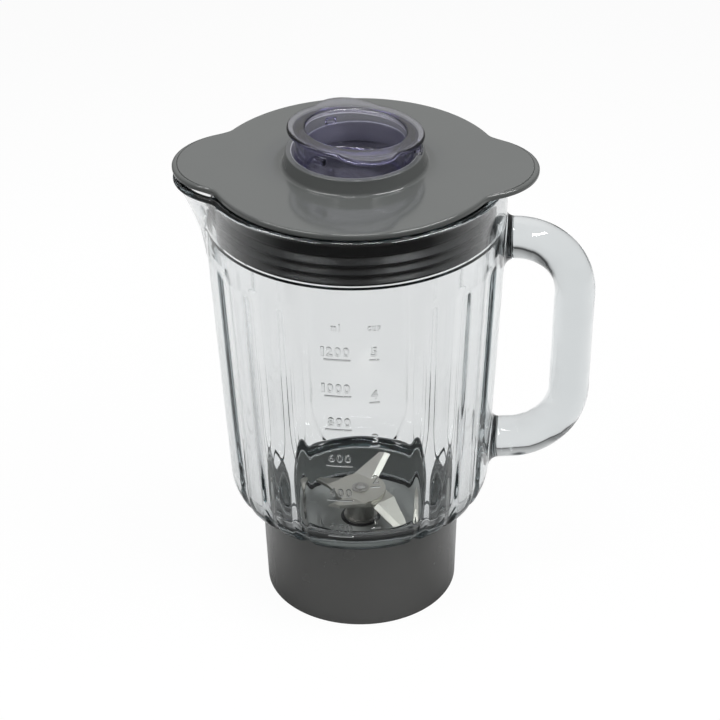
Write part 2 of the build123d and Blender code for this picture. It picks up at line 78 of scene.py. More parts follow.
class NodeSketch:
    """Adds nodes to the node tree of a material or a world."""

    def __init__(self, owner: bpy.types.Material | bpy.types.World, output: str) -> None:
        """Starts an empty node tree.

        Args:
            owner: Material or world that the nodes belong to.
            output: Blender's type name of the output node.
        """
        owner.use_nodes = True
        self.owner = owner
        self.tree = owner.node_tree
        self.tree.nodes.clear()
        self.output = self.add(output)

    def feed(self, target: Socket, value: object) -> None:
        """Gives an input another node's output, a colour or a number.

        Args:
            target: The input.
            value: Output to link, or value to set; a colour has three numbers.
        """
        if isinstance(value, Socket):
            self.tree.links.new(value, target)
        else:
            target.default_value = (*value, 1.0) if target.type == "RGBA" else value

    def add(self, kind: str, inputs: dict | None = None, **settings: object) -> bpy.types.Node:
        """Adds one node.

        Args:
            kind: Blender's type name of the node.
            inputs: Outputs or values for its inputs, by name or number.
            **settings: Values for the node's own properties.

        Returns:
            The new node.
        """
        node = self.tree.nodes.new(kind)
        for key, value in settings.items():
            setattr(node, key, value)
        for key, value in (inputs or {}).items():
            self.feed(node.inputs[key], value)
        return node

    def show(self, shader: Socket) -> None:
        """Shows a shader on the surface."""
        self.feed(self.output.inputs["Surface"], shader)

    def maths(self, operation: str, first: object, second: object) -> Socket:
        """Adds arithmetic on two values."""
        return self.add("ShaderNodeMath", {0: first, 1: second}, operation=operation).outputs["Value"]

    def vector(self, operation: str, result: str, *values: object) -> Socket:
        """Adds arithmetic on vectors and gives the named result."""
        return self.add("ShaderNodeVectorMath", dict(enumerate(values)), operation=operation).outputs[result]

    def place(self, space: str = "Object") -> Socket:
        """Adds the place of the shaded point, in the object's space or the named one."""
        return self.add("ShaderNodeTexCoord").outputs[space]

    def axis(self, vector: Socket, name: str) -> Socket:
        """Takes one axis of a vector."""
        return self.add("ShaderNodeSeparateXYZ", {"Vector": vector}).outputs[name]

    def ramp(self, value: Socket, start: float, end: float, low: object = 0.0, high: object = 1.0,
             **settings: object) -> Socket:
        """Maps a value to a range and holds it at the ends.

        Args:
            value: Value to map.
            start: Value that gives the low result.
            end: Value that gives the high result.
            low: Result at the start.
            high: Result at the end.
            **settings: Values for the node's own properties.

        Returns:
            The mapped value.
        """
        ends = {"Value": value, "From Min": start, "From Max": end, "To Min": low, "To Max": high}
        return self.add("ShaderNodeMapRange", ends, **settings).outputs["Result"]

    def noise(self, scale: float, detail: float, stretch: Colour = (1.0, 1.0, 1.0)) -> Socket:
        """Adds a noise texture in object space.

        Args:
            scale: Features per metre.
            detail: Octaves of the noise.
            stretch: Scale of each axis, small along a grain.

        Returns:
            The noise's value.
        """
        grain = self.add("ShaderNodeMapping", {"Vector": self.place(), "Scale": stretch}).outputs["Vector"]
        inputs = {"Vector": grain, "Scale": scale, "Detail": detail}
        return self.add("ShaderNodeTexNoise", inputs).outputs["Fac"]

    def span(self, noise: Socket, ends: Span) -> Socket:
        """Maps a noise to a range."""
        return self.ramp(noise, *NOISE_SPREAD, *ends)

    def blend(self, share: Socket, first: object, second: object) -> Socket:
        """Mixes two colours by the share of the second."""
        inputs = {"Factor": share, "A": first, "B": second}
        return self.add("ShaderNodeMix", inputs, data_type="RGBA").outputs["Result"]

    def inside(self, radius: float, levels: Span) -> Socket:
        """Marks the space within a radius about the jar's axis, setting in between two heights.

        Args:
            radius: The radius in metres.
            levels: Heights in metres, from 0 to 1 in the mark.

        Returns:
            The mark's value.
        """
        flat = self.vector("MULTIPLY", "Vector", self.place(), (1.0, 1.0, 0.0))
        away = self.vector("LENGTH", "Value", flat)
        height = self.ramp(self.axis(self.place(), "Z"), *levels)
        return self.maths("MULTIPLY", self.ramp(away, radius + EDGE_BLEND, radius), height)

    def bump(self, height: Socket, depth: float) -> Socket:
        """Turns a height from 0 to 1 into the normal of a bump so many metres deep."""
        inputs = {"Height": height, "Strength": 1.0, "Distance": depth}
        return self.add("ShaderNodeBump", inputs).outputs["Normal"]


def material_sketch(name: str) -> NodeSketch:
    """Starts the nodes of a new material."""
    return NodeSketch(bpy.data.materials.new(name), "ShaderNodeOutputMaterial")


def linear(red: int, green: int, blue: int) -> Colour:
    """Scene-linear colour of an sRGB colour given in 0 to 255.

    Args:
        red: Red share.
        green: Green share.
        blue: Blue share.

    Returns:
        The colour in linear light.
    """
    shares = np.array([red, green, blue]) / 255.0
    low = shares / 12.92
    high = ((shares + 0.055) / 1.055) ** 2.4
    return tuple(float(v) for v in np.where(shares <= 0.04045, low, high))


@dataclass(frozen=True)
class ClearFinish:
    """Clear glass or clear plastic that is tinted through its thickness.

    Attributes:
        name: Material name.
        ior: Index of refraction.
        tint: Colour that is left after the absorption depth.
        density: Absorption density per metre.
        lamp_tint: Colour of the lamplight that each wall lets through.
        ripple_scale: Ripples per metre on the surface.
        ripple_depth: Depth of the ripples in metres.
        bar_from: Distances in metres along +X between which deeper ripples set in.
        bar_ripple: How much deeper the ripples are there, 0 for none.
        frost: Roughness of the frosted inside, 0 for none.
        frost_r: Radius in metres about the jar's axis of the frosted inside.
        frost_levels: Heights in metres between which the frost sets in.
    """

    name: str
    ior: float
    tint: Colour
    density: float
    lamp_tint: Colour
    ripple_scale: float
    ripple_depth: float
    bar_from: Span = (0.0, 0.0)
    bar_ripple: float = 0.0
    frost: float = 0.0
    frost_r: float = 0.0
    frost_levels: Span = (0.0, 0.0)

    def material(self) -> bpy.types.Material:
        """Builds the material.

        Returns:
            The material.
        """
        nodes = material_sketch(self.name)
        ripple = nodes.noise(self.ripple_scale, 1.0)
        if self.bar_ripple:
            along_bar = nodes.axis(nodes.place(), "X")
            deeper = nodes.ramp(along_bar, *self.bar_from, 1.0, self.bar_ripple)
            ripple = nodes.maths("MULTIPLY", ripple, deeper)
        clear = nodes.add("ShaderNodeBsdfPrincipled", {
            "Base Color": (1.0, 1.0, 1.0), "Roughness": 0.0, "IOR": self.ior, "Transmission Weight": 1.0,
            "Normal": nodes.bump(ripple, self.ripple_depth)})
        if self.frost:
            frosted = nodes.inside(self.frost_r, self.frost_levels)
            nodes.feed(clear.inputs["Roughness"], nodes.maths("MULTIPLY", frosted, self.frost))
        lamp_light = nodes.add("ShaderNodeBsdfTransparent", {"Color": self.lamp_tint})
        shadow = nodes.add("ShaderNodeLightPath").outputs["Is Shadow Ray"]
        surface = {0: shadow, 1: clear.outputs["BSDF"], 2: lamp_light.outputs["BSDF"]}
        nodes.show(nodes.add("ShaderNodeMixShader", surface).outputs["Shader"])
        depth = nodes.add("ShaderNodeVolumeAbsorption", {"Color": self.tint, "Density": self.density})
        nodes.feed(nodes.output.inputs["Volume"], depth.outputs["Volume"])
        return nodes.owner


@dataclass(frozen=True)
class MouldedFinish:
    """Moulded plastic or rubber with a slightly uneven colour and gloss.

    Attributes:
        name: Material name.
        dark: Darker shade of the colour.
        pale: Paler shade of the colour.
        gloss: Lowest and highest roughness.
        grain_scale: Surface grains per metre.
        grain_depth: Depth of the grain in metres.
        inside: Paler colour within the inside radius, painted light that brightens the hollow there.
        painted_light_r: Radius in metres about the jar's axis, 0 for none.
        painted_light_levels: Heights in metres between which the painted light sets in.
        cloud_scale: Changes of shade per metre.
        gloss_scale: Changes of gloss per metre.
    """

    name: str
    dark: Colour
    pale: Colour
    gloss: Span
    grain_scale: float
    grain_depth: float
    # Painted light: paler colour of the hollow, with its radius and heights.
    inside: Colour = (0.0, 0.0, 0.0)
    painted_light_r: float = 0.0
    painted_light_levels: Span = (0.0, 0.0)
    cloud_scale: float = 28.0
    gloss_scale: float = 90.0

    def material(self) -> bpy.types.Material:
        """Builds the material.

        Returns:
            The material.
        """
        nodes = material_sketch(self.name)
        colour = nodes.blend(nodes.noise(self.cloud_scale, 3.0), self.dark, self.pale)
        # Painted light: a paler colour fills the hollow within the radius, setting in with height.
        if self.painted_light_r:
            colour = nodes.blend(nodes.inside(self.painted_light_r, self.painted_light_levels), colour, self.inside)
        rough = nodes.span(nodes.noise(self.gloss_scale, 4.0), self.gloss)
        plastic = nodes.add("ShaderNodeBsdfPrincipled", {
            "IOR": 1.5, "Base Color": colour, "Roughness": rough,
            "Normal": nodes.bump(nodes.noise(self.grain_scale, 2.0), self.grain_depth)})
        nodes.show(plastic.outputs["BSDF"])
        return nodes.owner


@dataclass(frozen=True)
class MetalFinish:
    """Bare metal with a drawn grain.

    Attributes:
        name: Material name.
        dark: Colour in the grain's lines.
        pale: Colour between the lines.
        gloss: Lowest and highest roughness.
        stretch: Scale of the grain along each axis.
        grain_scale: Grain lines per metre.
        grain_depth: Depth of the grain in metres.
    """

    name: str
    dark: Colour
    pale: Colour
    gloss: Span
    stretch: Colour
    grain_scale: float = 5200.0
    grain_depth: float = 0.000003

    def material(self) -> bpy.types.Material:
        """Builds the material.

        Returns:
            The material.
        """
        nodes = material_sketch(self.name)
        lines = nodes.noise(self.grain_scale, 2.0, self.stretch)
        metal = nodes.add("ShaderNodeBsdfPrincipled", {
            "Metallic": 1.0, "Base Color": nodes.blend(lines, self.dark, self.pale),
            "Roughness": nodes.span(lines, self.gloss), "Normal": nodes.bump(lines, self.grain_depth)})
        nodes.show(metal.outputs["BSDF"])
        return nodes.owner


class Finishes:
    """Every finish on the jar, as materials."""

    def __init__(self) -> None:
        """Builds the materials."""
        self.glass = ClearFinish(
            "clear_glass", ior=1.5, tint=(0.36, 0.43, 0.45), density=26.0, lamp_tint=(0.97, 0.98, 0.98),
            ripple_scale=60.0, ripple_depth=0.00004, bar_from=(0.07, 0.078), bar_ripple=40.0).material()
        self.cap = ClearFinish(
            "violet_clear", ior=1.57, tint=(0.36, 0.34, 0.58), density=125.0, lamp_tint=(0.99, 0.99, 0.99),
            ripple_scale=120.0, ripple_depth=0.00016, frost=0.1, frost_r=0.0238,
            frost_levels=(0.2358, 0.2352)).material()
        # Painted light: the inside of the collar hole and filler tube is painted pale, paler towards the top.
        self.lid = MouldedFinish(
            "lid_moulding", linear(83, 85, 84), linear(87, 89, 88), (0.1, 0.15), 2600.0, 0.000003,
            inside=linear(186, 187, 186), painted_light_r=0.0281, painted_light_levels=(0.209, 0.223)).material()
        # Painted light: the cup inside the base and the parts within it are painted pale.
        self.base = MouldedFinish(
            "base_moulding", linear(82, 82, 81), linear(88, 88, 87), (0.2, 0.28), 1800.0, 0.000002,
            inside=linear(160, 161, 158), painted_light_r=0.0411, painted_light_levels=(0.0, 0.02)).material()
        self.seal = MouldedFinish(
            "seal_rubber", linear(20, 20, 21), linear(24, 24, 25), (0.3, 0.4), 1800.0, 0.000004).material()
        self.coupling = MouldedFinish(
            "coupling_moulding", linear(26, 26, 27), linear(33, 33, 34), (0.35, 0.45), 2000.0,
            0.00001).material()
        self.blade = MetalFinish(
            "blade_steel", linear(180, 178, 171), linear(198, 196, 188), (0.4, 0.5),
            (0.08, 1.0, 1.0)).material()
        self.turned = MetalFinish(
            "turned_steel", linear(160, 158, 154), linear(180, 178, 174), (0.38, 0.48),
            (1.0, 1.0, 0.1)).material()
        self.bush = MetalFinish(
            "bush_bronze", linear(150, 112, 70), linear(184, 140, 92), (0.3, 0.42),
            (1.0, 1.0, 0.2)).material()


def rounded_outline(corners: Sequence[Corner], closed: bool, step: float, arc_steps: int = 7) -> np.ndarray:
    """Outline through corners, each rounded by its own radius.

    Args:
        corners: Radius from the axis, height and rounding of each corner.
        closed: Whether the last corner joins the first.
        step: Longest stretch of a straight run.
        arc_steps: Pieces of each rounded corner.

    Returns:
        Points as rows of radius and height.
    """
    guard = 0.35
    places = [np.array(corner[:2], float) for corner in corners]
    count = len(places)
    stretches: list[np.ndarray] = []
    for k, (place, corner) in enumerate(zip(places, corners)):
        at_end = not closed and k in (0, count - 1)
        if at_end or corner[2] <= 0:
            stretches.append(place[None, :])
            continue
        back = places[k - 1] - place
        ahead = places[(k + 1) % count] - place
        back /= np.linalg.norm(back)
        ahead /= np.linalg.norm(ahead)
        half = math.acos(float(np.clip(back @ ahead, -1, 1))) / 2
        middle = (back + ahead) / np.linalg.norm(back + ahead)
        centre = place + middle * corner[2] / math.sin(half)
        start = place + back * corner[2] / math.tan(half) - centre
        end = place + ahead * corner[2] / math.tan(half) - centre
        turn = math.atan2(start[0] * end[1] - start[1] * end[0], float(start @ end))
        angles = np.linspace(0, turn, arc_steps + 1)
        spun = np.stack([start[0] * np.cos(angles) - start[1] * np.sin(angles),
                         start[0] * np.sin(angles) + start[1] * np.cos(angles)], axis=1)
        stretches.append(centre + spun)
    points: list[np.ndarray] = []
    for k, stretch in enumerate(stretches):
        points.extend(stretch)
        if k + 1 == count and not closed:
            break
        begin = stretch[-1]
        finish = stretches[(k + 1) % count][0]
        length = float(np.linalg.norm(finish - begin))
        if length < 3 * guard:
            continue
        inner = np.linspace(guard, length - guard, max(2, math.ceil(length / step) + 1))
        points.extend(begin + (finish - begin) * share / length for share in inner)
    return np.array(points)


def even_angles(count: int) -> np.ndarray:
    """So many evenly spaced angles round the axis, in radians."""
    return np.arange(count) * 2 * math.pi / count


def rings_at(radius: np.ndarray, height: np.ndarray, angles: np.ndarray) -> np.ndarray:
    """Rings of points in millimetres from radii and heights, one row for each ring."""
    radius, height, angles = np.broadcast_arrays(radius, height, angles[None, :])
    return np.stack([radius * np.cos(angles), radius * np.sin(angles), height], axis=2)


def turned_rings(outline: np.ndarray, angles: np.ndarray) -> np.ndarray:
    """Rings of an outline of radius and height that is turned about the axis."""
    return rings_at(outline[:, :1], outline[:, 1:2], angles)


def ring_mesh(name: str, rings: np.ndarray, closed: bool) -> Piece:
    """Closed smooth mesh through rings of points.

    Args:
        name: Name of the new object.
        rings: Points in millimetres, ring by ring.
        closed: True where the last ring joins the first, False where a fan closes each end.

    Returns:
        The new object, linked to the scene.
    """
    count, width = rings.shape[:2]
    points = rings.reshape(-1, 3)
    rows = count if closed else count - 1
    ring = np.repeat(np.arange(rows), width)
    column = np.tile(np.arange(width), rows)
    beside = (column + 1) % width
    above = (ring + 1) % count
    faces = np.stack([ring * width + column, ring * width + beside, above * width + beside,
                      above * width + column], axis=1).tolist()
    if not closed:
        points = np.vstack([points, rings[0].mean(0), rings[-1].mean(0)])
        low, high = count * width, count * width + 1
        last = (count - 1) * width
        for k in range(width):
            after = (k + 1) % width
            faces.append([low, after, k])
            faces.append([high, last + k, last + after])
    mesh = bpy.data.meshes.new(name)
    mesh.from_pydata((points * MM).tolist(), [], faces)
    return finished_object(name, mesh)


def finished_object(name: str, mesh: bpy.types.Mesh) -> Piece:
    """Links a mesh as an object with outward, smooth faces.

    Args:
        name: Name of the object.
        mesh: Its mesh.

    Returns:
        The linked object.
    """
    work = bmesh.new()
    work.from_mesh(mesh)
    bmesh.ops.remove_doubles(work, verts=work.verts, dist=1e-7)
    bmesh.ops.recalc_face_normals(work, faces=work.faces)
    work.to_mesh(mesh)
    work.free()
    mesh.shade_smooth()
    piece = bpy.data.objects.new(name, mesh)
    bpy.context.scene.collection.objects.link(piece)
    return piece


def join_solid(piece: Piece, other: Piece) -> None:
    """Joins another solid to a piece and removes the other.

    Args:
        piece: Solid that stays.
        other: Solid that is joined.
    """
    change = piece.modifiers.new("join", "BOOLEAN")
    change.operation = "UNION"
    change.solver = "MANIFOLD"
    change.object = other
    made = bpy.data.meshes.new_from_object(piece.evaluated_get(bpy.context.evaluated_depsgraph_get()))
    piece.modifiers.remove(change)
    old = piece.data
    made.shade_smooth()
    piece.data = made
    bpy.data.meshes.remove(old)
    bpy.data.objects.remove(other)


def soft_max(first: np.ndarray, second: np.ndarray, width: float) -> np.ndarray:
    """Larger of two values, blended where they differ by less than a width."""
    share = np.maximum(width - np.abs(first - second), 0.0) / width
    return np.maximum(first, second) + share * share * width / 4


def signed_turn(turn: np.ndarray) -> np.ndarray:
    """Brings angles to between minus and plus half a turn."""
    return (turn + math.pi) % (2 * math.pi) - math.pi


def bulge_r(turn: np.ndarray, reach: np.ndarray | float, radius: np.ndarray | float,
            inset: float = 0.0) -> np.ndarray:
    """Distance from the axis to the far side of a round form that stands off it, and 0 beside the form.

    Args:
        turn: Angles from the form's middle.
        reach: Largest distance of the form from the axis.
        radius: The form's own radius.
        inset: Wall thickness to draw in by.

    Returns:
        Distances at the angles.
    """
    out = reach - radius
    square = (radius - inset) ** 2 - (out * np.sin(turn)) ** 2
    found = out * np.cos(turn) + np.sqrt(np.maximum(square, 0.0))
    return np.where((square > 0) & (np.cos(turn) > 0), found, 0.0)


def lobed_edge(angles: np.ndarray, plain_r: float, middles: Sequence[float], lobe: Triple) -> np.ndarray:
    """Radius of a round edge with lobes.

    Args:
        angles: Angles of the mesh columns.
        plain_r: Radius between the lobes.
        middles: Angles of the lobes.
        lobe: Reach of a lobe from the axis, its radius and the width of its blend.

    Returns:
        The radius at each angle.
    """
    reach, radius, blend = lobe
    edge = np.full_like(angles, plain_r)
    for middle in middles:
        edge = soft_max(edge, bulge_r(signed_turn(angles - middle), reach, radius), blend)
    return edge


def fit_piece(piece: Piece, body: Body, slot: Slot, material: bpy.types.Material,
              *nodes: str) -> Piece:
    """Dresses a piece, sets it on its body and lets it stand for solids.

    Args:
        piece: The new piece.
        body: Body that it rides on.
        slot: Record slot of its finish; not used.
        material: Its material.
        *nodes: Solids that it stands for.

    Returns:
        The same piece.
    """
    piece.data.materials.clear()
    piece.data.materials.append(material)
    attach(piece, body.value)
    if nodes:
        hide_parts(*nodes)
    LOG.info("%s: %d faces on %s", piece.name, len(piece.data.polygons), body.value)
    return piece


@dataclass
class Goblet:
    """Pressed glass goblet with flutes, pouring lip and handle, in millimetres.

    Columns are the start, end and step in degrees of mesh columns; wall levels are the start, end and
    count of the outer wall's rings.
    """

    neck_r: float = 40.6
    neck_inner_r: float = 36.2
    neck_bottom_z: float = 32.05
    neck_top_z: float = 50.5
    seat_r: float = 44.6
    seat_z: float = 46.0
    seat_gap: float = 0.06
    shoulder_r: float = 60.6
    shoulder_z: float = 64.5
    band_r: float = 66.9
    band_z: float = 182.0
    rim_r: float = 67.5
    rim_z: float = 218.0
    rim_edge_r: float = 2.1
    wall: float = 6.0
    mouth_r: float = 62.3
    ledge_z: float = 195.2
    ledge_drop: float = 1.8
    inner_drop: float = 7.0
    flute_r: float = 5.5
    flute_depth: float = 1.2
    flute_top_z: float = 180.0
    flute_edge: float = 0.9
    flute_soft_depth: float = 0.8
    flute_soft_half_width: float = 6.4
    flute_soft_levels: Span = (66.0, 104.0)
    lip_levels: Triple = (178.0, 200.0, 218.0)
    lip_radii: Triple = (7.0, 17.0, 30.0)
    lip_reaches: Triple = (66.7, 72.4, 80.4)
    lip_wall: float = 4.5
    lip_blend: float = 3.0
    handle_half_width: float = 10.6
    handle_half_thickness: float = 9.2
    handle_top_z: float = 182.6
    handle_low_z: float = 75.8
    handle_top_x: float = 99.4
    handle_low_x: float = 96.8
    handle_bend_r: float = 28.0
    handle_root_r: float = 4.5
    flute_quarter: Triple = (63.0, 46.5, 28.5)
    flute_columns: Triple = (-6.6, 6.61, 0.55)
    handle_columns: Triple = (-16.0, 16.1, 0.8)
    lip_columns: Triple = (146.0, 214.1, 1.7)
    plain_step: float = 2.0
    column_gap: float = 0.12
    shoulder_rings: int = 26
    rim_rings: int = 6
    wall_levels: tuple[tuple[float, float, int], ...] = (
        (66.5, 92.0, 12), (97.0, 165.0, 12), (168.0, 176.0, 6), (177.0, 190.0, 27), (192.0, 215.9, 14))
    bar_columns: int = 72
    root_turn: float = 78.0
    root_steps: int = 9
    root_skirt: float = 1.2
    root_offsets: Span = (-0.35, -2.6)

    def flute_angles(self) -> np.ndarray:
        """Places the twelve flutes.

        Returns:
            Their angles from +X, in radians.
        """
        quarter = np.array(self.flute_quarter)
        half = np.concatenate([quarter, 180.0 - quarter])
        return np.radians(np.concatenate([half, -half]))

    def columns(self) -> np.ndarray:
        """Places the mesh columns, closer together at flutes, lip and handle.

        Returns:
            Their angles from +X, in radians.
        """
        close = [math.degrees(a) + np.arange(*self.flute_columns) for a in self.flute_angles()]
        close += [np.arange(*self.handle_columns), np.arange(*self.lip_columns)]
        dense = np.mod(np.concatenate(close), 360.0)
        plain = np.arange(0.0, 360.0, self.plain_step)
        gap = np.abs((plain[:, None] - dense[None, :] + 180.0) % 360.0 - 180.0).min(1)
        angles = np.sort(np.concatenate([dense, plain[gap > self.plain_step / 2]]))
        keep = np.append(np.diff(angles) > self.column_gap, True)
        return np.radians(angles[keep])

    def wall_r(self, height: np.ndarray | float) -> np.ndarray | float:
        """Outer radius of the plain wall above the shoulder."""
        return np.interp(height, (self.shoulder_z, self.band_z, self.rim_z),
                         (self.shoulder_r, self.band_r, self.rim_r))

    def inner_r(self, height: float) -> float:
        """Inner radius of the wall below the ledge."""
        share = (height - self.shoulder_z) / (self.band_z - self.shoulder_z)
        return self.shoulder_r + share * (self.band_r - self.shoulder_r) - self.wall

    def lip_r(self, heights: np.ndarray, angles: np.ndarray, inset: float) -> np.ndarray:
        """Radius of the lip's flared form, drawn in by an inset, and 0 where there is none.

        Args:
            heights: Heights of the rings.
            angles: Angles of the columns.
            inset: Wall thickness to draw in by.

        Returns:
            Radii, one row for each height.
        """
        low, _, high = self.lip_levels
        stations = (np.array(self.lip_levels) - low) / (high - low)
        lift = (heights - low) / (high - low)
        radius = np.polyval(np.polyfit(stations, self.lip_radii, 2), lift)[:, None]
        reach = np.polyval(np.polyfit(stations, self.lip_reaches, 2), lift)[:, None]
        return bulge_r(angles[None, :] - math.pi, reach, radius, inset) * (heights[:, None] >= low)

    def flute_cut(self, radius: np.ndarray, heights: np.ndarray, angles: np.ndarray) -> np.ndarray:
        """Depth of the flutes below the plain surface, crisp at the foot and soft above.

        Args:
            radius: Plain radius of each ring.
            heights: Height of each ring.
            angles: Angles of the columns.

        Returns:
            Depths, one row for each ring.
        """
        nearest = np.abs(signed_turn(angles[:, None] - self.flute_angles()[None, :])).min(1)
        beyond = np.maximum(heights - self.flute_top_z, 0.0)[:, None]
        away = np.hypot(radius[:, None] * nearest[None, :], beyond)
        round_cut = np.sqrt(np.maximum(self.flute_r ** 2 - away ** 2, 0.0))
        round_cut -= np.maximum(away - self.flute_r, 0.0)
        crisp = soft_max(np.zeros_like(away), round_cut - (self.flute_r - self.flute_depth), self.flute_edge)
        wave = np.cos(np.minimum(away / self.flute_soft_half_width, 1.0) * math.pi / 2) ** 2
        low, high = self.flute_soft_levels
        share = np.clip((heights - low) / (high - low), 0.0, 1.0)[:, None]
        share = share * share * (3 - 2 * share)
        return crisp * (1 - share) + wave * self.flute_soft_depth * share

    def outer_stations(self) -> np.ndarray:
        """Outer wall from the seat to below the rim.

        Returns:
            Rows of radius, height and outward normal.
        """
        slope = math.atan2(self.band_r - self.shoulder_r, self.band_z - self.shoulder_z)
        across, rise = self.shoulder_r - self.seat_r, self.shoulder_z - self.seat_z
        radius = math.hypot(across, rise) / (2 * math.sin(math.atan2(across, rise) - slope))
        centre = (self.shoulder_r - radius * math.cos(slope), self.shoulder_z + radius * math.sin(slope))
        low = math.atan2(self.seat_z - centre[1], self.seat_r - centre[0])
        rows = [(centre[0] + radius * math.cos(a), centre[1] + radius * math.sin(a), math.cos(a), math.sin(a))
                for a in np.linspace(low, -slope, self.shoulder_rings)]
        levels = np.concatenate([np.linspace(*stretch) for stretch in self.wall_levels])
        rows += [(float(self.wall_r(z)), z, math.cos(slope), -math.sin(slope)) for z in levels]
        return np.array(rows)

    def body_rings(self) -> np.ndarray:
        """Rings of the goblet's closed surface: outside, rim, inside and neck.

        Returns:
            Points in millimetres, ring by ring.
        """
        angles = self.columns()
        plain_r, heights, normal_r, normal_z = self.outer_stations().T
        cut = self.flute_cut(plain_r, heights, angles)
        outer_r = plain_r[:, None] - cut * normal_r[:, None]
        outer_r = soft_max(outer_r, self.lip_r(heights, angles, 0.0), self.lip_blend)
        outer_z = heights[:, None] - cut * normal_z[:, None]
        top = np.array([self.rim_z])
        rim_out = soft_max(self.rim_r, self.lip_r(top, angles, 0.0), self.lip_blend)
        rim_in = soft_max(self.mouth_r, self.lip_r(top, angles, self.lip_wall), self.lip_blend)
        turn = np.linspace(0, math.pi / 2, self.rim_rings + 1)[1:, None]
        inset = self.rim_edge_r * (1 - np.cos(turn))
        drop = self.rim_edge_r * (1 - np.sin(turn))
        rim_outer = rings_at(rim_out - inset, self.rim_z - drop, angles)
        rim_inner = rings_at(rim_in + inset[::-1], self.rim_z - drop[::-1], angles)
        inner_shoulder_z = self.shoulder_z - self.inner_drop
        ledge_low_z = self.ledge_z - self.ledge_drop
        inner = rounded_outline([
            (self.mouth_r, self.rim_z - self.rim_edge_r, 0), (self.mouth_r, self.ledge_z, 0.8),
            (self.inner_r(ledge_low_z), ledge_low_z, 0.8),
            (self.inner_r(inner_shoulder_z), inner_shoulder_z, 9),
            (self.neck_inner_r, self.neck_top_z, 4), (self.neck_inner_r, self.neck_bottom_z, 1.2),
            (self.neck_r, self.neck_bottom_z, 1.2), (self.neck_r, self.seat_z + self.seat_gap, 0.8),
            (self.seat_r - 0.4, self.seat_z + self.seat_gap, 0)], False, 7.0, 9)
        inner_r = soft_max(inner[:, :1], self.lip_r(inner[:, 1], angles, self.lip_wall), self.lip_blend)
        inner_rings = rings_at(inner_r, inner[:, 1:2], angles)
        return np.concatenate([rings_at(outer_r, outer_z, angles), rim_outer, rim_inner, inner_rings])

    def handle_path(self) -> np.ndarray:
        """Middle line of the handle between its roots.

        Returns:
            Rows of X, Z and tangent.
        """
        corners = [(0.0, self.handle_top_z, 0.0), (self.handle_top_x, self.handle_top_z, self.handle_bend_r),
                   (self.handle_low_x, self.handle_low_z, self.handle_bend_r), (0.0, self.handle_low_z, 0.0)]
        line = rounded_outline(corners, False, 3.0, 24)
        line = line[line[:, 0] > self.band_r + self.handle_root_r]
        tangent = np.gradient(line, axis=0)
        return np.hstack([line, tangent / np.linalg.norm(tangent, axis=1)[:, None]])

    def handle_root(self, height: float) -> np.ndarray:
        """Rings that flare a stem into the wall, from the stem's end inwards.

        Args:
            height: Height of the stem's middle line.

        Returns:
            Rings in millimetres.
        """
        around = even_angles(self.bar_columns)
        stages = [(self.handle_root_r * (1 - math.cos(a)), self.handle_root_r * (1 - math.sin(a)))
                  for a in np.radians(np.linspace(0, self.root_turn, self.root_steps))]
        stages += [(stages[-1][0] + self.root_skirt, off) for off in self.root_offsets]
        rings = []
        for spread, off in stages:
            y = (self.handle_half_width + spread) * np.cos(around)
            z = height + (self.handle_half_thickness + spread) * np.sin(around)
            x = np.sqrt(self.wall_r(z) ** 2 - y ** 2) + off
            rings.append(np.stack([x, y, z], axis=1))
        return np.array(rings)

    def handle_rings(self) -> np.ndarray:
        """Rings of the handle's oval bar with a flare at each root.

        Returns:
            Points in millimetres, ring by ring.
        """
        around = even_angles(self.bar_columns)
        across = self.handle_half_width * np.cos(around)
        up = self.handle_half_thickness * np.sin(around)
        bars = [np.stack([x - run_z * up, across, z + run_x * up], axis=1)
                for x, z, run_x, run_z in self.handle_path()]
        top = self.handle_root(self.handle_top_z)[::-1]
        low = self.handle_root(self.handle_low_z)[:, (-np.arange(self.bar_columns)) % self.bar_columns]
        return np.concatenate([top, np.array(bars), low])

    def build(self, finishes: Finishes) -> Piece:
        """Makes the goblet as one closed glass mesh.

        Args:
            finishes: Materials of the jar.

        Returns:
            The goblet.
        """
        goblet = ring_mesh("glass_goblet", self.body_rings(), True)
        handle = ring_mesh("glass_handle", self.handle_rings(), False)
        join_solid(goblet, handle)
        return fit_piece(goblet, Body.JAR, Slot.GLASS, finishes.glass, "goblet")


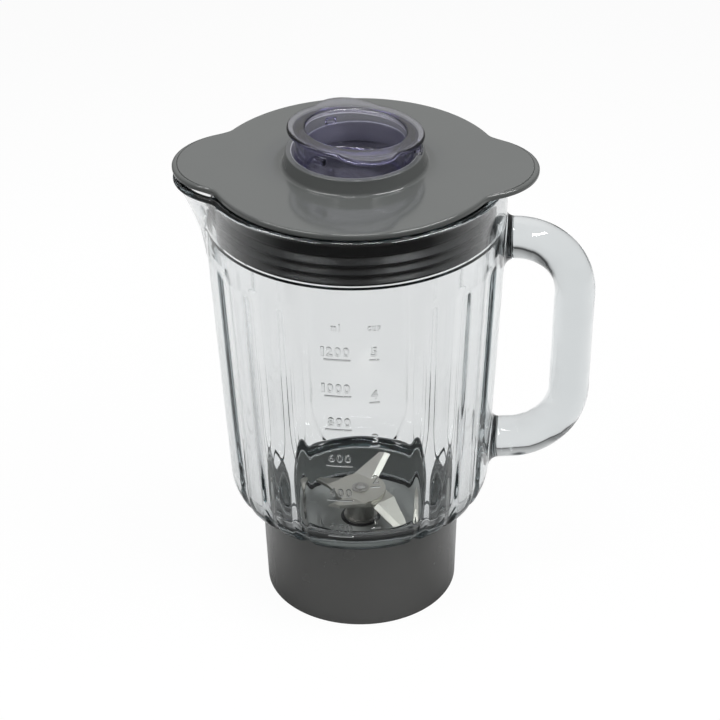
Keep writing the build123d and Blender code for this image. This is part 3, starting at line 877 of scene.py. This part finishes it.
@dataclass
class ScaleMarks:
    """Raised measuring scale on the front of the goblet, in millimetres.

    Places run along the wall to the right of the front line; each level is that of a mark's line. A unit
    letter has its place, width and height.
    """

    goblet: Goblet
    raised: float = 0.34
    sunk: float = 0.25
    digit_height: float = 4.7
    digit_width: float = 2.8
    digit_pitch: float = 3.64
    digit_lift: float = 2.0
    line_half_height: float = 0.42
    line_columns: int = 16
    line_end: float = 0.15
    line_end_share: float = 0.5
    slim_share: float = 0.5
    slim_shift: float = 0.6
    last_digit_inset: float = 2.0
    millilitre_step: int = 200
    sharp_angle: float = 40.0
    millilitre_line: Span = (-15.1, -3.2)
    cup_line: Span = (4.6, 9.2)
    millilitre_levels: tuple[float, ...] = (62.6, 83.0, 102.4, 122.3, 140.4, 159.7)
    cup_levels: tuple[float, ...] = (67.4, 90.6, 113.5, 137.1, 159.7)
    unit_level: float = 175.0
    unit_letters: tuple[tuple[str, float, float, float], ...] = (
        ("m", -10.4, 2.4, 2.4), ("l", -7.9, 0.6, 3.4), ("c", 5.0, 1.6, 2.4), ("u", 7.1, 1.6, 2.4),
        ("p", 9.2, 1.6, 2.4))

    def glyph(self, letter: str) -> tuple[np.ndarray, list[list[int]]]:
        """Rounded form of one letter in a unit box.

        Args:
            letter: The letter or digit.

        Returns:
            Its points and faces.
        """
        curve = bpy.data.curves.new("letter", "FONT")
        curve.body = letter
        curve.resolution_u = 5
        curve.extrude = 0.02
        curve.bevel_depth = 0.03
        curve.bevel_resolution = 2
        holder = bpy.data.objects.new("letter", curve)
        bpy.context.scene.collection.objects.link(holder)
        mesh = bpy.data.meshes.new_from_object(holder.evaluated_get(bpy.context.evaluated_depsgraph_get()))
        points = np.array([vertex.co for vertex in mesh.vertices])
        faces = [list(face.vertices) for face in mesh.polygons]
        bpy.data.objects.remove(holder)
        bpy.data.meshes.remove(mesh)
        low = points.min(0)
        return (points - low) / (points.max(0) - low), faces

    def wrapped(self, flat: np.ndarray) -> np.ndarray:
        """Sets flat points on the goblet's wall.

        Args:
            flat: Place along the wall, height and distance out of the wall, in the last axis.

        Returns:
            Points in millimetres.
        """
        radius = self.goblet.wall_r(flat[..., 1])
        turn = flat[..., 0] / radius
        out = radius + flat[..., 2]
        return np.stack([out * np.sin(turn), -out * np.cos(turn), flat[..., 1]], axis=-1)

    def letter(self, letter: str, place: float, foot: float, size: Span) -> Piece:
        """Makes one raised letter.

        Args:
            letter: The letter or digit.
            place: Its middle along the wall.
            foot: Height of its foot.
            size: Its width and height.

        Returns:
            The letter.
        """
        points, faces = self.glyph(letter)
        scale = np.array([size[0], size[1], self.raised + self.sunk])
        flat = points * scale + np.array([place - size[0] / 2, foot, -self.sunk])
        mesh = bpy.data.meshes.new("letter")
        mesh.from_pydata((self.wrapped(flat) * MM).tolist(), [], faces)
        return finished_object("letter", mesh)

    def line(self, ends: Span, level: float) -> Piece:
        """Makes one raised line.

        Args:
            ends: Its ends along the wall.
            level: Its height.

        Returns:
            The line.
        """
        around = even_angles(self.line_columns)
        inner = np.linspace(ends[0] + self.line_end, ends[1] - self.line_end, self.line_columns)
        places = np.concatenate([[ends[0]], inner, [ends[1]]])
        width = np.ones(len(places))
        width[[0, -1]] = self.line_end_share
        height = level + width[:, None] * self.line_half_height * np.cos(around)
        depth = width[:, None] * self.raised * np.sin(around)
        flat = np.stack([np.repeat(places[:, None], self.line_columns, 1), height, depth], axis=2)
        return ring_mesh("line", self.wrapped(flat), False)

    def number(self, text: str, right: float, level: float) -> list[Piece]:
        """Makes a number whose last digit stands at a place.

        Args:
            text: The digits.
            right: Middle of the last digit along the wall.
            level: Height of the line under the number.

        Returns:
            One object for each digit.
        """
        digits = []
        for k, digit in enumerate(reversed(text)):
            slim = digit == "1"
            place = right - self.digit_pitch * k + (self.slim_shift if slim and k else 0.0)
            size = (self.digit_width * (self.slim_share if slim else 1.0), self.digit_height)
            digits.append(self.letter(digit, place, level + self.digit_lift, size))
        return digits

    def build(self, finishes: Finishes) -> Piece:
        """Makes the whole scale as one piece of glass.

        Args:
            finishes: Materials of the jar.

        Returns:
            The scale.
        """
        pieces = []
        for k, level in enumerate(self.millilitre_levels):
            pieces.append(self.line(self.millilitre_line, level))
            last = self.millilitre_line[1] - self.last_digit_inset
            pieces += self.number(str(self.millilitre_step * (k + 1)), last, level)
        for k, level in enumerate(self.cup_levels):
            pieces.append(self.line(self.cup_line, level))
            pieces += self.number(str(k + 1), sum(self.cup_line) / 2, level)
        for letter, place, *size in self.unit_letters:
            pieces.append(self.letter(letter, place, self.unit_level, size))
        work = bmesh.new()
        for piece in pieces:
            work.from_mesh(piece.data)
            bpy.data.meshes.remove(piece.data)
        mesh = bpy.data.meshes.new("glass_scale")
        work.to_mesh(mesh)
        work.free()
        mesh.set_sharp_from_angle(angle=math.radians(self.sharp_angle))
        scale = bpy.data.objects.new("glass_scale", mesh)
        bpy.context.scene.collection.objects.link(scale)
        return fit_piece(scale, Body.JAR, Slot.GLASS, finishes.glass)


@dataclass
class LidMoulding:
    """Lid with its two ears, collar, filler tube and plug skirt, in millimetres."""

    plate_r: float = 65.4
    fixed_r: float = 46.0
    bottom_z: float = 218.3
    top_z: float = 221.1
    ear_reach: float = 81.0
    ear_r: float = 28.0
    ear_blend: float = 5.0
    collar_r: float = 30.6
    collar_foot_r: float = 31.8
    collar_top_z: float = 228.3
    hole_r: float = 27.8
    skirt_r: float = 58.0
    skirt_wall: float = 2.4
    skirt_bottom_z: float = 194.0
    flange: float = 1.6
    notch_half_width: float = 5.0
    notch_depth: float = 4.5
    notch_reach: float = 29.5
    notch_edge: float = 0.004
    notch_rim: float = 1.2
    turn: float = -4.5
    tube_r: float = 27.9
    tube_wall: float = 2.2
    tube_drop: float = 23.5

    def rings(self) -> np.ndarray:
        """Rings of the lid's closed surface.

        Returns:
            Points in millimetres, ring by ring.
        """
        notch = math.asin(self.notch_half_width / self.hole_r)
        sides = [side * notch + edge for side in (-1, 1) for edge in (-self.notch_edge, self.notch_edge)]
        angles = np.sort(np.mod(np.concatenate([even_angles(ROUND_COLUMNS) + SLACK, sides]), 2 * math.pi))
        outline = rounded_outline([
            (self.hole_r, self.bottom_z, 0.5), (self.hole_r, self.collar_top_z, 0.5),
            (self.notch_reach, self.collar_top_z, 0), (self.collar_r, self.collar_top_z, 0.7),
            (self.collar_foot_r, self.top_z, 1.6), (self.plate_r, self.top_z, 1.2),
            (self.plate_r, self.bottom_z, 0.5), (self.skirt_r, self.bottom_z, 0.4),
            (self.skirt_r, self.skirt_bottom_z + self.flange, 0.2),
            (self.skirt_r + self.flange, self.skirt_bottom_z + self.flange, 0.5),
            (self.skirt_r + self.flange, self.skirt_bottom_z, 0.5),
            (self.skirt_r - self.skirt_wall, self.skirt_bottom_z, 0.5),
            (self.skirt_r - self.skirt_wall, self.bottom_z, 0.8),
            (self.tube_r + self.tube_wall, self.bottom_z, 0.6),
            (self.tube_r + self.tube_wall, self.bottom_z - self.tube_drop, 0.5),
            (self.tube_r, self.bottom_z - self.tube_drop, 0.5), (self.tube_r, self.bottom_z, 0.2)],
            True, 5.0, 6)
        radius, height = outline[:, :1], outline[:, 1:2]
        share = np.clip((radius - self.fixed_r) / (self.plate_r - self.fixed_r), 0, 1)
        below = np.clip((radius - self.skirt_r) / (self.plate_r - self.skirt_r), 0, 1)
        below = below * share * (height >= self.bottom_z - SLACK) * (radius > self.skirt_r - SLACK)
        top = (height > self.top_z - SLACK) & (radius > self.collar_foot_r)
        grows = np.where(top, share, below)
        edge = lobed_edge(angles, self.plate_r, (math.pi, 0.0), (self.ear_reach, self.ear_r, self.ear_blend))
        stretched = radius + grows * (edge[None, :] - self.plate_r)
        inside = (radius <= self.notch_reach + SLACK) & (height > self.collar_top_z - self.notch_rim)
        dropped = inside * (np.abs(signed_turn(angles)) < notch)[None, :] * self.notch_depth
        return rings_at(stretched, height - dropped, angles + math.radians(self.turn))

    def build(self, finishes: Finishes) -> Piece:
        """Makes the lid in its finish."""
        lid = ring_mesh("lid_moulding", self.rings(), True)
        return fit_piece(lid, Body.LID, Slot.LID, finishes.lid, "lid")


@dataclass
class LidSeal:
    """Rubber seal round the lid's skirt: a smooth band over three sloping ribs, in millimetres."""

    inner_r: float = 58.05
    band_r: float = 60.9
    root_r: float = 59.9
    rib_r: float = 62.0
    low_z: float = 195.6
    top_z: float = 218.3
    rib_count: int = 3
    rib_pitch: float = 4.6
    rib_edge: float = 0.8
    rib_height: float = 3.4
    lid_gap: float = 0.05

    def build(self, finishes: Finishes) -> Piece:
        """Makes the seal.

        Args:
            finishes: Materials of the jar.

        Returns:
            The seal.
        """
        corners: list[Corner] = [(self.inner_r, self.low_z, 0)]
        for k in range(self.rib_count):
            foot = self.low_z + k * self.rib_pitch
            corners += [(self.rib_r, foot, 0.3), (self.rib_r, foot + self.rib_edge, 0.4),
                        (self.root_r, foot + self.rib_height, 0.6), (self.root_r, foot + self.rib_pitch, 0.3)]
        ribs_top = self.low_z + self.rib_count * self.rib_pitch
        corners += [(self.band_r, ribs_top, 0.3), (self.band_r, self.top_z - self.lid_gap, 0.5),
                    (self.inner_r, self.top_z - self.lid_gap, 0)]
        outline = rounded_outline(corners, True, 4.0, 6)
        seal = ring_mesh("rubber_seal", turned_rings(outline, even_angles(ROUND_COLUMNS)), True)
        return fit_piece(seal, Body.LID, Slot.SEAL, finishes.seal, "lid_seal")


@dataclass
class FillerCap:
    """Clear filler cap: a cup with a lobed flange and bayonet lugs, sitting askew, in millimetres."""

    cup_r: float = 26.4
    well_r: float = 22.2
    well_floor_z: float = 217.5
    floor: float = 2.2
    flange_r: float = 30.3
    flange_low_z: float = 234.3
    flange_top_z: float = 236.5
    lobe_reach: float = 36.8
    lobe_r: float = 14.0
    lobe_angles: Span = (100.0, 280.0)
    lobe_blend: float = 2.5
    lug_reach: float = 29.0
    lug_half_width: float = 3.0
    lug_angles: Triple = (-4.5, 115.5, 235.5)
    collar_top_z: float = 228.3
    lug_height: float = 3.2
    tilt: float = 5.5
    tilt_angle: float = 219.0
    lift: float = 1.2234
    columns: int = 200
    column_shift: float = 0.011
    lug_shares: tuple[float, ...] = (0.3, 0.6, 0.8, 0.9, 0.97, 1.0)
    lug_rings: int = 13
    axis_r: float = 0.02
    flange_root: float = 0.5

    def rings(self) -> np.ndarray:
        """Rings of the cap's closed surface, upright.

        Returns:
            Points in millimetres, ring by ring.
        """
        lug_half = self.lug_half_width / self.lug_reach
        shares = np.array(self.lug_shares)
        shares = np.concatenate([-shares, [0.0], shares])
        edges = [math.radians(a) + share * lug_half for a in self.lug_angles for share in shares]
        plain = even_angles(self.columns) + self.column_shift
        angles = np.sort(np.mod(np.concatenate([plain, edges]), 2 * math.pi))
        lug_top = self.collar_top_z + self.lug_height
        outline = rounded_outline([
            (self.axis_r, self.well_floor_z - self.floor, 0),
            (self.cup_r, self.well_floor_z - self.floor, 1.6),
            *[(self.cup_r, level, 0) for level in np.linspace(self.collar_top_z, lug_top, self.lug_rings)],
            (self.cup_r, self.flange_low_z, 1.4), (self.flange_r, self.flange_low_z, 0.95),
            (self.flange_r, self.flange_top_z, 1.2), (self.well_r, self.flange_top_z, 1.2),
            (self.well_r, self.well_floor_z, 2.4), (self.axis_r, self.well_floor_z, 0)], False, 3.0, 6)
        radius, height = outline[:, :1], outline[:, 1:2]
        flange_start = self.cup_r + self.flange_root
        on_flange = np.clip((radius - flange_start) / (self.flange_r - flange_start), 0, 1)
        edge = lobed_edge(angles, self.flange_r, np.radians(self.lobe_angles),
                          (self.lobe_reach, self.lobe_r, self.lobe_blend))
        wide = radius + on_flange * (edge[None, :] - self.flange_r)
        turn = np.abs(signed_turn(angles[:, None] - np.radians(self.lug_angles)[None, :])).min(1)
        across = np.minimum(turn / lug_half, 1.0)[None, :]
        along = np.clip((height - (self.collar_top_z + lug_top) / 2) / (self.lug_height / 2), -1, 1)
        swell = np.clip(1 - across ** 4, 0, 1) ** 0.5 * np.clip(1 - along ** 4, 0, 1) ** 0.5
        wide = wide + swell * (radius > self.cup_r - self.flange_root) * (self.lug_reach - self.cup_r)
        return rings_at(wide, height, angles)

    def build(self, finishes: Finishes) -> Piece:
        """Makes the cap.

        Args:
            finishes: Materials of the jar.

        Returns:
            The cap.
        """
        cap = ring_mesh("clear_cap", self.rings(), False)
        level = Vector((0, 0, self.collar_top_z * MM))
        raise_by = Vector((0, 0, self.lift * MM))
        side = Matrix.Rotation(math.radians(self.tilt_angle), 4, "Z")
        lean = side @ Matrix.Rotation(math.radians(-self.tilt), 4, "Y") @ side.inverted()
        cap.data.transform(Matrix.Translation(level + raise_by) @ lean @ Matrix.Translation(-level))
        return fit_piece(cap, Body.CAP, Slot.CAP, finishes.cap, "filler_cap")


@dataclass
class BaseMoulding:
    """Docking base: skirt, cup, floor, hub boss, ribs and lugs, in millimetres."""

    bottom_r: float = 45.0
    top_r: float = 46.5
    height: float = 46.0
    cup_r: float = 40.9
    floor_z: float = 30.0
    floor_low_z: float = 27.0
    boss_r: float = 18.0
    boss_z: float = 24.0
    bore_r: float = 12.05
    socket_r: float = 42.4
    socket_depth: float = 8.0
    upper_r: float = 41.2
    rib_count: int = 6
    rib_thickness: float = 2.0
    rib_depth: float = 6.0
    lug_count: int = 4
    lug_span: float = 34.0
    lug_reach: float = 3.2
    lug_height: float = 4.0
    lug_start: float = 45.0
    sink: float = 0.5
    wall_sink: float = 0.6
    block_rings: int = 13

    def sector(self, inner_r: float, outer_r: float, middle: float, span: float, low: float,
               high: float) -> Piece:
        """Block of a ring with rounded edges.

        Args:
            inner_r: Inner radius.
            outer_r: Outer radius.
            middle: Angle of its middle in degrees.
            span: Angle that it spans in degrees.
            low: Lower height.
            high: Upper height.

        Returns:
            The block.
        """
        section = rounded_outline([(inner_r, low, 0.5), (outer_r, low, 0), (outer_r, high, 0),
                                   (inner_r, high, 0.5)], True, 3.0, 4)
        angles = np.radians(np.linspace(middle - span / 2, middle + span / 2, self.block_rings))
        rings = turned_rings(section, angles).transpose(1, 0, 2)
        return ring_mesh("base_block", rings, False)

    def build(self, finishes: Finishes) -> Piece:
        """Makes the base.

        Args:
            finishes: Materials of the jar.

        Returns:
            The base.
        """
        outline = rounded_outline([
            (self.socket_r, 0, 0.5), (self.bottom_r, 0, 0.8), (self.top_r, self.height, 0.8),
            (self.cup_r, self.height, 0.5), (self.cup_r, self.floor_z, 1.5), (self.bore_r, self.floor_z, 0.3),
            (self.bore_r, self.boss_z, 0.3), (self.boss_r, self.boss_z, 0.6),
            (self.boss_r, self.floor_low_z, 0.8),
            (self.upper_r, self.floor_low_z, 1.2), (self.upper_r, self.socket_depth, 0.4),
            (self.socket_r, self.socket_depth, 0.3)], True, 5.0, 6)
        base = ring_mesh("base_moulding", turned_rings(outline, even_angles(ROUND_COLUMNS)), True)
        span = math.degrees(self.rib_thickness / ((self.boss_r + self.upper_r) / 2))
        wall_r = self.upper_r + self.wall_sink
        for k in range(self.rib_count):
            join_solid(base, self.sector(
                self.boss_r - self.sink, wall_r, 360.0 * k / self.rib_count, span,
                self.floor_low_z - self.rib_depth, self.floor_low_z + self.sink))
        for k in range(self.lug_count):
            join_solid(base, self.sector(
                self.upper_r - self.lug_reach, wall_r, self.lug_start + 360.0 * k / self.lug_count,
                self.lug_span, self.socket_depth, self.socket_depth + self.lug_height))
        return fit_piece(base, Body.JAR, Slot.BASE, finishes.base, "base")


@dataclass
class PackedSolids:
    """Solids that show as they were packed, by finish."""

    rubber: tuple[str, ...] = ("base_seal", "shaft_seal")
    grey: tuple[str, ...] = ("bearing_housing",)
    black: tuple[str, ...] = ("housing_nut", "drive_coupling")
    bronze: tuple[str, ...] = ("upper_bush", "lower_bush")
    cutters: tuple[str, ...] = ("lower_blade", "upper_blade")
    turned: tuple[str, ...] = (
        "spindle", "thrust_washer", "blade_spacer", "blade_washer", "lower_washer", "retaining_clip")

    def dress(self, finishes: Finishes) -> None:
        """Gives each solid its material.

        Args:
            finishes: Materials of the jar.
        """
        groups = ((self.rubber, finishes.seal), (self.grey, finishes.base), (self.black, finishes.coupling),
                  (self.bronze, finishes.bush), (self.cutters, finishes.blade),
                  (self.turned, finishes.turned))
        for names, material in groups:
            for name in names:
                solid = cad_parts[name]
                solid.data.materials.clear()
                solid.data.materials.append(material)
                LOG.info("%s: packed solid in %s", name, material.name)


@dataclass
class PaleFloor:
    """Floor that is white to the camera, keeps the jar's shadow and is dimmer in reflections, in metres.

    The card carries painted shade: it is darker far from the jar, and dark to reflections from in front.
    Turns are ranges of the way to the back, which is 1 straight behind the jar and -1 in front of it.
    """

    size: float = 14.0
    tones: Span = (0.86, 0.89)
    white: float = 0.95
    through: float = 0.92
    # Painted shade: tone of the card that reflections from in front see.
    painted_front_shade: float = 0.06
    mirror_share: float = 0.1
    side_share: float = 0.25
    edge: Span = (0.36, 0.8)
    # Painted shade: tone of the card far from the jar.
    far: float = 0.22
    end: Span = (0.85, 1.8)
    front_turn: Span = (0.3, -0.6)
    back_turn: Span = (0.15, 0.7)
    side_turn: Span = (0.25, 0.8)

    def card_colour(self, nodes: NodeSketch, bounced: Socket, beyond: Socket, backward: Socket) -> Socket:
        """Colour of the floor's card, dim to reflections from in front.

        Args:
            nodes: Nodes of the floor.
            bounced: 1 for a ray that has been reflected.
            beyond: 0 near the jar and 1 far from it.
            backward: Way to the back.

        Returns:
            The colour.
        """
        pale = nodes.blend(nodes.noise(3.0, 2.0), (self.tones[0],) * 3, (self.tones[1],) * 3)
        # Painted shade: the card turns dark far from the jar.
        shaded_card = nodes.blend(beyond, pale, (self.far,) * 3)
        # Painted shade: reflections from in front see a dark card.
        front_shade_share = nodes.maths("MULTIPLY", bounced, nodes.ramp(backward, *self.front_turn))
        return nodes.blend(front_shade_share, shaded_card, (self.painted_front_shade,) * 3)

    def white_share(self, nodes: NodeSketch, path: bpy.types.Node, bounced: Socket, beyond: Socket,
                    backward: Socket) -> Socket:
        """Share of plain white that each kind of ray sees.

        Args:
            nodes: Nodes of the floor.
            path: Kind of the ray.
            bounced: 1 for a ray that has been reflected.
            beyond: 0 near the jar and 1 far from it.
            backward: Way to the back.

        Returns:
            The share.
        """
        seen = nodes.maths("MULTIPLY", path.outputs["Is Camera Ray"], self.white)
        bent = nodes.maths("MAXIMUM", path.outputs["Is Glossy Ray"], path.outputs["Is Transmission Ray"])
        near = nodes.ramp(beyond, 0.0, 1.0, self.mirror_share, 0.0)
        reflected = nodes.maths("MULTIPLY", near, nodes.ramp(backward, *self.back_turn))
        straight = nodes.ramp(nodes.vector("LENGTH", "Value", nodes.place()), self.end[1], self.end[0])
        refracted = nodes.maths("MULTIPLY", straight, nodes.ramp(backward, *self.side_turn, self.side_share))
        shown = nodes.ramp(bounced, 0.0, 1.0, refracted, reflected)
        passed = nodes.maths("MULTIPLY", nodes.maths("MULTIPLY", bent, self.through), shown)
        return nodes.maths("MAXIMUM", seen, passed)

    def material(self) -> bpy.types.Material:
        """Builds the floor's material.

        Returns:
            The material.
        """
        nodes = material_sketch("pale_floor")
        path = nodes.add("ShaderNodeLightPath")
        bounced = nodes.maths("MINIMUM", path.outputs["Glossy Depth"], 1.0)
        beyond = nodes.ramp(nodes.vector("LENGTH", "Value", nodes.place()), *self.edge)
        backward = nodes.axis(nodes.vector("NORMALIZE", "Vector", nodes.place()), "Y")
        colour = self.card_colour(nodes, bounced, beyond, backward)
        card = nodes.add("ShaderNodeBsdfDiffuse", {"Color": colour}).outputs["BSDF"]
        white = nodes.add("ShaderNodeEmission", {"Strength": 1.0}).outputs["Emission"]
        share = self.white_share(nodes, path, bounced, beyond, backward)
        nodes.show(nodes.add("ShaderNodeMixShader", {0: share, 1: card, 2: white}).outputs["Shader"])
        return nodes.owner

    def build(self) -> None:
        """Makes the floor."""
        half = self.size / 2
        mesh = bpy.data.meshes.new("floor")
        corners = [(-half, -half, 0), (half, -half, 0), (half, half, 0), (-half, half, 0)]
        mesh.from_pydata(corners, [], [(0, 1, 2, 3)])
        mesh.materials.append(self.material())
        floor = bpy.data.objects.new("floor", mesh)
        bpy.context.scene.collection.objects.link(floor)


@dataclass
class Studio:
    """World, lamps and camera round the floor, in metres and degrees.

    Each lamp has its azimuth from the front, elevation, power, length and width.
    """

    front_sky: float = 0.26
    back_sky: float = 0.8
    sky_tilt: float = 38.0
    sky_spread: Span = (0.7, 0.99)
    lamps: tuple[tuple[float, float, float, float, float], ...] = (
        (-65.0, 56.0, 6.4, 0.9, 0.12), (65.0, 56.0, 9.8, 0.9, 0.12), (0.0, 82.0, 3.8, 0.4, 0.12))
    lamp_distance: float = 1.25
    lamp_aim: Triple = (0.0, 0.0, 0.12)
    eye: Triple = (0.0008, -0.9744, 0.7274)
    eye_pitch: float = 58.02
    eye_roll: float = -0.90
    lens: float = 124.65
    sensor: float = 36.0
    bounces: int = 32

    def build_world(self) -> None:
        """Makes a white surround whose light comes mostly from above and behind the jar."""
        nodes = NodeSketch(bpy.data.worlds.new("studio"), "ShaderNodeOutputWorld")
        tilt = math.radians(self.sky_tilt)
        towards = nodes.vector("DOT_PRODUCT", "Value", nodes.place("Generated"),
                               (0.0, math.cos(tilt), math.sin(tilt)))
        level = nodes.ramp(towards, *self.sky_spread, self.front_sky, self.back_sky,
                           interpolation_type="SMOOTHSTEP")
        seen = nodes.add("ShaderNodeLightPath").outputs["Is Camera Ray"]
        strength = nodes.maths("MAXIMUM", seen, level)
        sky = nodes.add("ShaderNodeBackground", {"Color": (1.0, 1.0, 1.0), "Strength": strength})
        nodes.show(sky.outputs["Background"])
        bpy.context.scene.world = nodes.owner

    def build_lamps(self) -> None:
        """Sets the soft lamps."""
        for side, height, power, length, width in self.lamps:
            around = math.radians(side)
            up = math.radians(height)
            place = Vector((math.sin(around) * math.cos(up), -math.cos(around) * math.cos(up), math.sin(up)))
            lamp = bpy.data.lights.new("soft_lamp", "AREA")
            lamp.shape = "RECTANGLE"
            lamp.size, lamp.size_y = length, width
            lamp.energy = power
            holder = bpy.data.objects.new("soft_lamp", lamp)
            holder.location = Vector(self.lamp_aim) + place * self.lamp_distance
            holder.rotation_euler = (-place).to_track_quat("-Z", "Y").to_euler()
            bpy.context.scene.collection.objects.link(holder)

    def build_camera(self) -> None:
        """Sets the camera at the photograph's place."""
        camera = bpy.data.cameras.new("camera")
        camera.lens = self.lens
        camera.sensor_width = self.sensor
        camera.clip_start = 0.01
        holder = bpy.data.objects.new("camera", camera)
        turn = Matrix.Rotation(math.radians(self.eye_pitch), 4, "X") @ Matrix.Rotation(
            math.radians(self.eye_roll), 4, "Z")
        holder.matrix_world = Matrix.Translation(Vector(self.eye)) @ turn
        bpy.context.scene.collection.objects.link(holder)
        bpy.context.scene.camera = holder

    def build(self) -> None:
        """Sets up the whole studio."""
        PaleFloor().build()
        self.build_world()
        self.build_lamps()
        self.build_camera()
        scene = bpy.context.scene
        scene.view_settings.view_transform = "Standard"
        scene.cycles.max_bounces = self.bounces
        scene.cycles.glossy_bounces = self.bounces
        scene.cycles.transmission_bounces = self.bounces
        scene.cycles.caustics_refractive = False


def main() -> None:
    """Builds every piece of the jar and the studio."""
    logging.basicConfig(level=logging.INFO, format="%(name)s: %(message)s")
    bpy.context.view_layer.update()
    finishes = Finishes()
    goblet = Goblet()
    goblet.build(finishes)
    ScaleMarks(goblet).build(finishes)
    LidMoulding().build(finishes)
    LidSeal().build(finishes)
    FillerCap().build(finishes)
    BaseMoulding().build(finishes)
    PackedSolids().dress(finishes)
    Studio().build()


if __name__ == "__main__":
    main()
